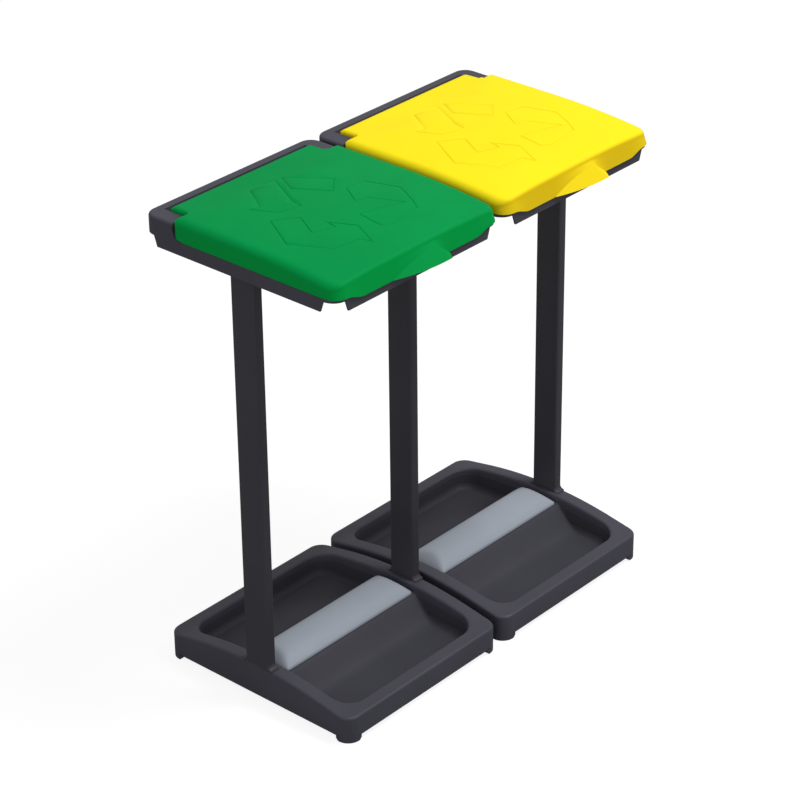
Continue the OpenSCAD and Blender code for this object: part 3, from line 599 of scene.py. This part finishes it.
def add_feet(shell):
    """Feet: the tray's own corners carried down to the floor, with bevelled ends."""
    low_x = TRAY_HALF_X - FOOT_LENGTH
    low_y = TRAY_HALF_Y - FOOT_LENGTH
    arc = corner_arc((TRAY_HALF_X - TRAY_CORNER, TRAY_HALF_Y - TRAY_CORNER), TRAY_CORNER, 0, 12)
    # height, bevel of the two inner sides, inset of the two outer ones
    levels = ((0.0, FOOT_BEVEL, FOOT_EDGE), (FOOT_EDGE, FOOT_BEVEL - FOOT_EDGE, 0.0),
              (FOOT_BEVEL, 0.0, 0.0), (FOOT_TOP_Z, 0.0, 0.0))
    for side_x, side_y in ((-1, -1), (-1, 1), (1, -1), (1, 1)):
        rings = []
        for z, bevel, inset in levels:
            outline = [(x - inset, y - inset) for x, y in arc]
            outline += [(low_x + bevel, TRAY_HALF_Y - inset), (low_x + bevel, low_y + bevel),
                        (TRAY_HALF_X - inset, low_y + bevel)]
            if side_x * side_y < 0:
                outline.reverse()
            rings.append(shell.add([(side_x * x, side_y * y, z) for x, y in outline]))
        shell.bands(rings)
        shell.faces.append(tuple(reversed(rings[0])))


def build_tray(name, unit_x):
    """Base tray. Its recess gets a darker, duller copy of the dark plastic; the darker colour is painted shade for
    the lids' shadow over the basins.
    """
    shell = Shell()
    bends = [27.7, 28.3, 35.0, 38.0, 40.0, 42.0, 45.0, 50.0, 56.0, 61.0, 65.0, 69.0, 72.0, 75.0,
             78.0, 81.0, 85.0, 90.0, 97.0, 107.0, 124.0]
    ys = sorted([-b for b in bends] + bends + [-18.0, -9.0, 0.0, 9.0, 18.0])
    base = add_tray_top(shell, ys)
    add_tray_underside(shell, ys, base)
    add_webs(shell)
    add_feet(shell)
    tray = shell.build(name, unit_x, DARK)
    tray.data.materials.append(BASIN_SHADE)
    # upward faces inside the recess get the painted shade
    recess = tray_loop(RECESS_START, ys)
    for face in tray.data.polygons:
        x, y, z = face.center / MM
        faces_up = face.normal.z > 0.05 and z > FLOOR_Z - 1
        if faces_up and inside(recess, x - unit_x, y - MID_Y):
            face.material_index = 1
    return tray


# Posts

def build_post(name, x_mid):
    """Extruded tube with rounded edges, from its flared foot on the rim up to the bag ring."""
    shell = Shell()
    heights = [-POST_SINK]
    heights += [POST_FLARE * (1 - math.cos(math.radians(a))) for a in range(0, 91, 15)]
    heights += spread(POST_FLARE, POST_TOP_Z - RIM_CREST_Z, 12)[1:]
    centre_x = POST_THICKNESS / 2 - POST_ROUND
    rings = []
    for height in heights:
        flare = edge_drop(height, POST_FLARE)
        low_y = POST_Y - POST_HALF_Y - flare + POST_ROUND
        high_y = POST_Y + POST_HALF_Y + flare - POST_ROUND
        loop = corner_arc((centre_x, high_y), POST_ROUND, 0, 8)
        loop += corner_arc((-centre_x, high_y), POST_ROUND, 90, 8)
        loop += corner_arc((-centre_x, low_y), POST_ROUND, 180, 8)
        loop += corner_arc((centre_x, low_y), POST_ROUND, 270, 8)
        rings.append(shell.add([(x + x_mid, y, RIM_CREST_Z + height) for x, y in loop]))
    shell.bands(rings)
    shell.faces.append(tuple(reversed(rings[0])))
    shell.faces.append(tuple(rings[-1]))
    return shell.build(name, 0.0, POST)


# Lids

def crown_height(x):
    """Height of the lid's top across its middle."""
    share = min(abs(x) / RING_HALF_X, 1.0)
    return LID_SIDE_Z + LID_CROWN * (1 - share ** 2)


def spine_height(y):
    """Height of the lid's top from front to back: it falls to the front and to the nose."""
    crown_z = LID_SIDE_Z + LID_CROWN
    nose_z = HINGE_Z + NOSE_RADIUS
    if y > HINGE_Y:
        return HINGE_Z + arc_height(NOSE_RADIUS, y - HINGE_Y)
    fall_y = HINGE_Y - LID_REAR_FALL
    if y > fall_y:
        share = (y - fall_y) / LID_REAR_FALL
        return nose_z + (crown_z - nose_z) * (1 + math.cos(math.pi * share)) / 2
    if y < 0:
        return crown_z - LID_FRONT_DROP * (y / TOP_FRONT_Y) ** 2
    return crown_z


def lid_top(x, y):
    """Height of the lid's top before its edges are rounded."""
    across = crown_height(x) - LID_SIDE_DROP * (min(y, 0.0) / TOP_FRONT_Y) ** 2
    return smooth_min(across, spine_height(y), LID_TOP_BLEND)


def lid_surface(x, y):
    """Height of the lid's top at a plan point, with its side, front and rear edges rounded."""
    past_x = abs(x) - (RING_HALF_X - LID_CORNER)
    past_y = TOP_FRONT_Y + LID_CORNER - y
    if past_x > 0 and past_y > 0:
        share = smooth_step(math.atan2(past_y, past_x) / (math.pi / 2))
        radius = LID_SIDE_ROUND + (LID_FRONT_ROUND - LID_SIDE_ROUND) * share
        drop = edge_drop(LID_CORNER - math.hypot(past_x, past_y), radius)
    else:
        drop = max(edge_drop(RING_HALF_X - abs(x), LID_SIDE_ROUND),
                   edge_drop(y - TOP_FRONT_Y, LID_FRONT_ROUND))
    if y > LID_BACK_Y - LID_REAR_ROUND and abs(x) > TONGUE_HALF:
        drop = max(drop, edge_drop(LID_BACK_Y - y, LID_REAR_ROUND))
    if y > LID_BACK_Y:
        drop = max(drop, edge_drop(TONGUE_HALF - abs(x), LID_REAR_ROUND))
    return lid_top(x, y) - drop


def lid_inside(x, y):
    """Height of the lid's inner face, one wall thickness inside its top and its nose."""
    z = lid_surface(x, y) - LID_WALL
    if y > HINGE_Y:
        z = min(z, HINGE_Z + arc_height(NOSE_RADIUS - LID_WALL, y - HINGE_Y))
    return z


def pull_crease(x):
    """Height above the apron's edge at which the pull leaves the lid's front."""
    reach = PULL_REACH - PULL_RADIUS + math.sqrt(PULL_RADIUS ** 2 - (x - PULL_OFFSET) ** 2)
    end = (PULL_HALF - x) * PULL_HEIGHT / PULL_END_LEAN
    return max(0.0, min(reach * PULL_HEIGHT / PULL_REACH, end))


def lid_bottom(x, y):
    """Height of the lid's lower edge at an outline point: apron in front, rounded beside the
    ring's arms, and round under the nose."""
    if y <= LID_FRONT_Y + APRON_BAND:
        apron = smooth_step((RING_HALF_X - LID_CORNER - abs(x)) / APRON_RUN)
        return LID_EDGE_Z - APRON_DEPTH * apron + pull_crease(x)
    if abs(x) > TONGUE_HALF + SIDE_TOLERANCE:
        over = min(max(y - (LID_BACK_Y - ARM_FILLET), 0.0), ARM_FILLET)
        return LID_EDGE_Z + ARM_FILLET - arc_height(ARM_FILLET, over)
    if y > HINGE_Y:
        return HINGE_Z - arc_height(NOSE_RADIUS, y - HINGE_Y)
    return LID_EDGE_Z


def lid_outline(inset, front_y):
    """Plan of the lid at an inset: the full-width body in front, the narrower tongue behind."""
    half = RING_HALF_X - inset
    tongue = TONGUE_HALF - inset
    back = LID_BACK_Y - inset
    rear = HINGE_Y + NOSE_RADIUS - inset
    front = front_y + inset
    corner = LID_CORNER - inset
    ear = max(BODY_REAR_CORNER - inset, LEAST_ROUND)
    tip = max(TONGUE_CORNER - inset, LEAST_ROUND)
    notch = NOTCH_ROUND + inset

    front_corner = corner_arc((half - corner, front + corner), corner, -90, 12)
    flank = [(half, y) for y in spread(front + corner, back - ear, 26)[1:-1]]
    flank += corner_arc((half - ear, back - ear), ear, 0, 6)
    # concave corner between the body and the tongue
    flank += [(tongue + notch - notch * math.sin(a), back + notch - notch * math.cos(a))
              for a in (math.radians(degrees) for degrees in range(0, 91, 15))]
    flank += corner_arc((tongue - tip, rear - tip), tip, 0, 8)

    loop = [(x, front) for x in spread(-(half - corner), half - corner, 64)[:-1]]
    loop += front_corner + flank
    loop += [(x, rear) for x in spread(tongue - tip, -(tongue - tip), 30)[1:-1]]
    loop += [(-x, y) for x, y in reversed(flank)]
    loop += [(-x, y) for x, y in reversed(front_corner[1:])]
    return loop


def relief_loops():
    """Outlines of three folded arrows that follow each other round a loop, the rear one in two
    parts."""
    return [
        [(24, 106), (-1, 64), (34, 12), (67, 40)],
        [(10, 107), (-39, 112), (-74, 57), (-91, 63), (-73, 24), (-34, 12), (-31, 33)],
        [(-99, 13), (-137, -54), (-101, -115), (-54, -120), (-46, -138), (-26, -92), (-49, -54),
         (-52, -72), (-88, -59), (-64, -14), (-83, 2)],
        [(55, 4), (30, -36), (52, -43), (80, -91), (36, -77), (2, -70), (-1, -114), (15, -123),
         (79, -114), (92, -94), (112, -53), (93, 0)],
    ]


def add_lid_top(shell, lines):
    """Upper face of the lid, with the arrows' outlines sunk into it as a groove."""
    insets = [0.0, 0.25, 0.8, 1.8, 3.0, 4.5, 6.2, 8.4, 11.0, 14.0]
    loops = [lid_outline(d, TOP_FRONT_Y) for d in insets]
    sides, beds = [[shrink_loop(arrow, d) for arrow in relief_loops() for d in (-half, half)]
                   for half in (GROOVE_HALF, GROOVE_BED_HALF)]

    def height(x, y):
        in_bed = any(near_loop(loop, x, y, ON_LOOP) for loop in beds)
        return lid_surface(x, y) - (GROOVE_DEPTH if in_bed else 0.0)

    shell.drape(fill_plan(loops, lines, sides + beds), height)


def add_lid_wall(shell, inset, surface, shares, inward=False):
    """Upright wall of the lid at an inset, with rows at shares of the way from its lower edge
    to a surface. Its front leans. Returns the lowest row."""
    edge = lid_outline(0.0, LID_FRONT_Y)
    foot = lid_outline(inset, LID_FRONT_Y)
    head = lid_outline(inset, TOP_FRONT_Y)
    rows = []
    for share in shares:
        row = []
        for (x, y), (foot_x, foot_y), (edge_x, edge_y) in zip(head, foot, edge):
            low = lid_bottom(edge_x, edge_y)
            high = surface(x, y)
            row.append((foot_x + (x - foot_x) * share, foot_y + (y - foot_y) * share,
                        low + (high - low) * share))
        rows.append(shell.add(row))
    shell.bands(rows, inward=inward)
    return rows[0]


def add_bosses(shell):
    """Boss round each hinge pin, inside the lid's rear part, hung from its top by a rib."""
    ends = (TONGUE_HALF - BOSS_LENGTH, TONGUE_HALF - LID_WALL / 2)
    turn = [2 * math.pi * i / 32 for i in range(32)]
    rib_low = HINGE_Z + BOSS_RADIUS - RIB_OVERLAP
    rib_high = HINGE_Z + NOSE_RADIUS - LID_WALL + RIB_OVERLAP
    for side in (-1, 1):
        bore_in, rim_in, bore_out, rim_out = [
            shell.add([(side * x, HINGE_Y + radius * math.cos(a), HINGE_Z + radius * math.sin(a))
                       for a in turn]) for x in ends for radius in (PIN_RADIUS, BOSS_RADIUS)]
        shell.band(rim_in, rim_out)
        shell.band(bore_out, bore_in)
        shell.band(bore_in, rim_in)
        path = [(side * x, rib_low, rib_high) for x in ends]
        shell.plate(path, LID_WALL, lambda x, across, z: (x, HINGE_Y + across, z))


def build_lid(name, unit_x, material):
    """Lid: a hollow shell with a pull in front and hinge bosses behind."""
    shell = Shell()
    lines = (spread(-170, 170, 34), spread(-170, 150, 32) + [HINGE_Y + 2, HINGE_Y + 5])
    add_lid_top(shell, lines)
    outer_row = add_lid_wall(shell, 0.0, lid_surface, (0.0, 0.02, 0.35, 0.7, 1.0))
    inner_loops = [lid_outline(LID_WALL + d, TOP_FRONT_Y) for d in (0.0, 0.7, 2.0, 3.5, 5.5)]
    shell.drape(fill_plan(inner_loops, lines), lid_inside, inward=True)
    inner_row = add_lid_wall(shell, LID_WALL, lid_inside, (0.0, 0.5, 1.0), inward=True)
    shell.band(inner_row, outer_row)
    add_pull(shell)
    add_bosses(shell)
    return shell.build(name, unit_x, material, sharp_angle=42.0)


# Pulls of the lids: a part of a cone that grows out of the front, with one short, sloping end

PULL_RADIUS = arc_radius(PULL_HALF + PULL_OFFSET, PULL_REACH)
PULL_MIDDLE_Y = LID_FRONT_Y - PULL_REACH + PULL_RADIUS


def cone_radius(height, inset):
    """Radius of the pull's cone, which narrows upwards, at an inset from its outer face."""
    return PULL_RADIUS - PULL_REACH * height / PULL_HEIGHT - inset


def pull_point(height, angle, inset):
    """Point of the pull's cone at a height above the apron's edge."""
    radius = cone_radius(height, inset)
    return (PULL_OFFSET + radius * math.sin(angle), PULL_MIDDLE_Y - radius * math.cos(angle),
            LID_EDGE_Z - APRON_DEPTH + height)


def pull_end_distance(point, inset):
    """Signed distance in plan from the sloping end of the pull, at the point's height."""
    x, y, z = point
    share = math.cos(PULL_TURN) * PULL_END_LEAN / PULL_HEIGHT
    height = z - LID_EDGE_Z + APRON_DEPTH
    across = (x - PULL_HALF) * math.cos(PULL_TURN) - (y - LID_FRONT_Y) * math.sin(PULL_TURN)
    return across + share * height + inset * math.sqrt(1 + share ** 2)


def pull_row(height, inset):
    """Points of the pull at one height, from its long end on the lid's front to its short one."""
    lean = LID_FRONT_LEAN * max(height - APRON_DEPTH, 0.0) / (LID_SIDE_Z - LID_EDGE_Z)
    wall_y = LID_FRONT_Y + lean + PULL_SINK
    reach = (PULL_MIDDLE_Y - wall_y) / cone_radius(height, inset)
    start = -math.acos(max(-1.0, min(1.0, reach)))
    # halving finds the angle at which the cone meets the sloping end
    low, high = start, PAST_PULL
    for _ in range(40):
        middle = (low + high) / 2
        if pull_end_distance(pull_point(height, middle, inset), inset) < 0:
            low = middle
        else:
            high = middle
    row = [pull_point(height, angle, inset) for angle in spread(start, low, 36)]
    # the short end runs straight back to the lid's front
    x, y, z = row[-1]
    run = max(wall_y - y, 0.0)
    row += [(x + math.tan(PULL_TURN) * run * i / 4, y + run * i / 4, z) for i in range(1, 5)]
    return row


def add_pull(shell):
    """Outer and inner face of the pull, each with a ledge that runs back into the lid."""
    lowest = []
    for inset in (0.0, LID_WALL):
        rows = [shell.add(pull_row(height, inset)) for height in spread(0.0, PULL_HEIGHT, 16)]
        top = [shell.points[i] for i in rows[-1]]
        ledge = shell.add([(x, y + PULL_LEDGE, z) for x, y, z in top])
        shell.bands(rows + [ledge], closed=False)
        lowest.append(rows[0])
    shell.band(lowest[1], lowest[0], closed=False)


# Covers of the bag roll stores

def cover_surface(x, y, inset):
    """Height of the cover's arch with its sloping ends, at an inset from its upper face."""
    rise = COVER_HEIGHT - COVER_EDGE
    radius = arc_radius(COVER_HALF_Y, rise)
    arch = COVER_HEIGHT - radius + math.sqrt((radius - inset) ** 2 - y * y)
    fall = math.hypot(rise, COVER_END_RUN) / COVER_END_RUN * inset
    slope = COVER_EDGE + (COVER_HALF_X - abs(x)) * rise / COVER_END_RUN - fall
    # the lift makes up for what the blend takes off the crown
    return COVER_BASE_Z + (smooth_min(arch, slope, COVER_BLEND) + COVER_BLEND_LIFT)


def cover_loop(inset):
    """Rounded rectangle of the cover at an inset."""
    half_x = COVER_HALF_X - inset
    half_y = COVER_HALF_Y - inset
    corner = COVER_CORNER - inset
    flat_x = half_x - corner
    flat_y = half_y - corner
    loop = [(x, -half_y) for x in spread(-flat_x, flat_x, 60)[:-1]]
    loop += corner_arc((flat_x, -flat_y), corner, -90, 6)
    loop += [(half_x, y) for y in spread(-flat_y, flat_y, 14)[1:-1]]
    loop += corner_arc((flat_x, flat_y), corner, 0, 6)
    loop += [(x, half_y) for x in spread(flat_x, -flat_x, 60)[1:-1]]
    loop += corner_arc((-flat_x, flat_y), corner, 90, 6)
    loop += [(-half_x, y) for y in spread(flat_y, -flat_y, 14)[1:-1]]
    loop += corner_arc((-flat_x, -flat_y), corner, 180, 6)[:-1]
    return loop


def build_cover(name, unit_x):
    """Cover: a thin arch with a softened edge and two ribs that reach into the trough."""
    shell = Shell()
    lines = (spread(-146, 146, 72), spread(-39, 39, 26))
    outer = cover_loop(0.0)
    inner = cover_loop(COVER_WALL)

    def top(x, y):
        on_edge = near_loop(outer, x, y, ON_LOOP)
        return cover_surface(x, y, 0.0) - (COVER_EDGE_DROP if on_edge else 0.0)

    def under(x, y):
        return cover_surface(x, y, COVER_WALL)

    shell.drape(fill_plan([outer, cover_loop(COVER_EDGE_INSET)], lines), top)
    top_row = shell.add([(x, y, cover_surface(x, y, 0.0) - COVER_EDGE_DROP) for x, y in outer])
    foot_row = shell.add([(x, y, COVER_BASE_Z) for x, y in outer])
    shell.band(foot_row, top_row)
    shell.drape(fill_plan([inner], lines), under, inward=True)
    inner_top = shell.add([(x, y, under(x, y)) for x, y in inner])
    inner_foot = shell.add([(x, y, COVER_BASE_Z) for x, y in inner])
    shell.band(inner_top, inner_foot)
    shell.band(inner_foot, foot_row)
    for side in (-1, 1):
        rib_y = side * (TROUGH_HALF_Y - COVER_RIB_GAP - COVER_WALL / 2)
        path = [(x, COVER_BASE_Z - COVER_RIB_DEPTH, under(x, rib_y) + COVER_RIB_OVERLAP)
                for x in spread(-COVER_RIB_HALF, COVER_RIB_HALF, 20)]
        shell.plate(path, COVER_WALL, lambda x, across, z: (x, rib_y + across, z))
    return shell.build(name, unit_x, GREY, sharp_angle=40.0)


# Pieces in place

tray_left = build_tray("tray_left_skin", UNIT_X["left"])
tray_right = build_tray("tray_right_skin", UNIT_X["right"])
for piece, node in ((tray_left, "tray_left"), (tray_right, "tray_right")):
    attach(piece, "root")
    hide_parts(node)

for side in ("left", "right"):
    cover = build_cover("cover_" + side + "_skin", UNIT_X[side])
    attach(cover, "cover_" + side)
    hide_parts("roll_cover_" + side)

for name, x_mid in POST_X.items():
    post = build_post("post_" + name + "_skin", x_mid)
    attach(post, "root")
    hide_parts("post_" + name)

for name, side, body, material in (("green", "left", "lid_green", GREEN),
                                   ("yellow", "right", "lid_yellow", YELLOW)):
    lid = build_lid("lid_" + name + "_skin", UNIT_X[side], material)
    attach(lid, body)
    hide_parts("lid_" + name)

FINISH = {"dark_plastic": DARK, "post_plastic": POST, "grey_plastic": GREY,
          "green_plastic": GREEN, "yellow_plastic": YELLOW, "screw_steel": STEEL}
SLOT_OF = {part["node"]: part["material_slot"] for part in frame["record"]["subparts"]}
for node, piece in frame["nodes"].items():
    piece.data.materials.clear()
    piece.data.materials.append(FINISH[SLOT_OF[node]])


# Camera, fitted to the photo

AZIMUTH = math.radians(-48.396)
ELEVATION = math.radians(28.842)
ROLL = math.radians(0.628)
CAMERA_AT = Vector((-2.9663, -2.6101, 2.5603))
back = Vector((math.sin(AZIMUTH) * math.cos(ELEVATION),
               -math.cos(AZIMUTH) * math.cos(ELEVATION), math.sin(ELEVATION)))
level = Vector((math.cos(AZIMUTH), math.sin(AZIMUTH), 0.0))
upright = back.cross(level)
right = level * math.cos(ROLL) - upright * math.sin(ROLL)
up = level * math.sin(ROLL) + upright * math.cos(ROLL)
camera_data = bpy.data.cameras.new("camera")
camera_data.sensor_width = 36.0
camera_data.lens = 128.6
camera_data.clip_end = 50.0
camera = bpy.data.objects.new("camera", camera_data)
bpy.context.scene.collection.objects.link(camera)
turned = Matrix((right, up, back)).transposed().to_4x4()
camera.matrix_world = Matrix.Translation(CAMERA_AT) @ turned
bpy.context.scene.camera = camera


# Floor, light and background

def stage_material(name):
    """White where the camera looks, with the object's soft shadow; a dimmer grey for bounced
    light."""
    material, tree, shader = node_material(name)
    shader.inputs["Roughness"].default_value = 0.9
    shader.inputs["Specular IOR Level"].default_value = 0.05
    path = tree.nodes.new("ShaderNodeLightPath")
    from_camera = path.outputs["Is Camera Ray"]
    tone = add_node(tree, "ShaderNodeMixRGB", Color1=(0.34, 0.34, 0.34, 1.0),
                    Color2=(0.9, 0.9, 0.9, 1.0))
    tree.links.new(from_camera, tone.inputs["Fac"])
    tree.links.new(tone.outputs[0], shader.inputs["Base Color"])
    glow = add_node(tree, "ShaderNodeEmission", Strength=1.1)
    share = tree.nodes.new("ShaderNodeMath")
    share.operation = "MULTIPLY"
    share.inputs[1].default_value = 0.8
    tree.links.new(from_camera, share.inputs[0])
    mix = tree.nodes.new("ShaderNodeMixShader")
    for i, source in enumerate((share, shader, glow)):
        tree.links.new(source.outputs[0], mix.inputs[i])
    tree.links.new(mix.outputs[0], tree.nodes["Material Output"].inputs["Surface"])
    return material


def white_world():
    """A plain white background for the camera, and a weaker white light on the object."""
    world = bpy.data.worlds.new("studio")
    world.use_nodes = True
    tree = world.node_tree
    ambient = tree.nodes["Background"]
    ambient.inputs["Color"].default_value = WHITE
    ambient.inputs["Strength"].default_value = 0.5
    backdrop = add_node(tree, "ShaderNodeBackground", Color=WHITE, Strength=1.0)
    seen = tree.nodes.new("ShaderNodeLightPath")
    choose = tree.nodes.new("ShaderNodeMixShader")
    tree.links.new(seen.outputs["Is Camera Ray"], choose.inputs[0])
    tree.links.new(ambient.outputs[0], choose.inputs[1])
    tree.links.new(backdrop.outputs[0], choose.inputs[2])
    tree.links.new(choose.outputs[0], tree.nodes["World Output"].inputs["Surface"])
    return world


def soft_lamp(name, place, target, size, power):
    """A round area lamp that looks at its target."""
    data = bpy.data.lights.new(name, "AREA")
    data.shape = "DISK"
    data.size = size
    data.energy = power
    lamp = bpy.data.objects.new(name, data)
    bpy.context.scene.collection.objects.link(lamp)
    lamp.location = place
    lamp.rotation_euler = (Vector(target) - Vector(place)).to_track_quat("-Z", "Y").to_euler()


FLOOR_HALF = 30.0  # in metres
floor_mesh = bpy.data.meshes.new("floor")
floor_mesh.from_pydata([(x * FLOOR_HALF, y * FLOOR_HALF, 0.0)
                        for x, y in ((-1, -1), (1, -1), (1, 1), (-1, 1))], [], [(0, 1, 2, 3)])
floor = bpy.data.objects.new("floor", floor_mesh)
bpy.context.scene.collection.objects.link(floor)
floor_mesh.materials.append(stage_material("floor_white"))

bpy.context.scene.world = white_world()
soft_lamp("key", (1.2, -1.5, 4.1), (0, 0, 0.4), 1.6, 113.0)
soft_lamp("fill", (-2.6, -0.8, 0.5), (-0.2, 0, 0.3), 1.2, 5.0)

bpy.context.scene.view_settings.view_transform = "Standard"
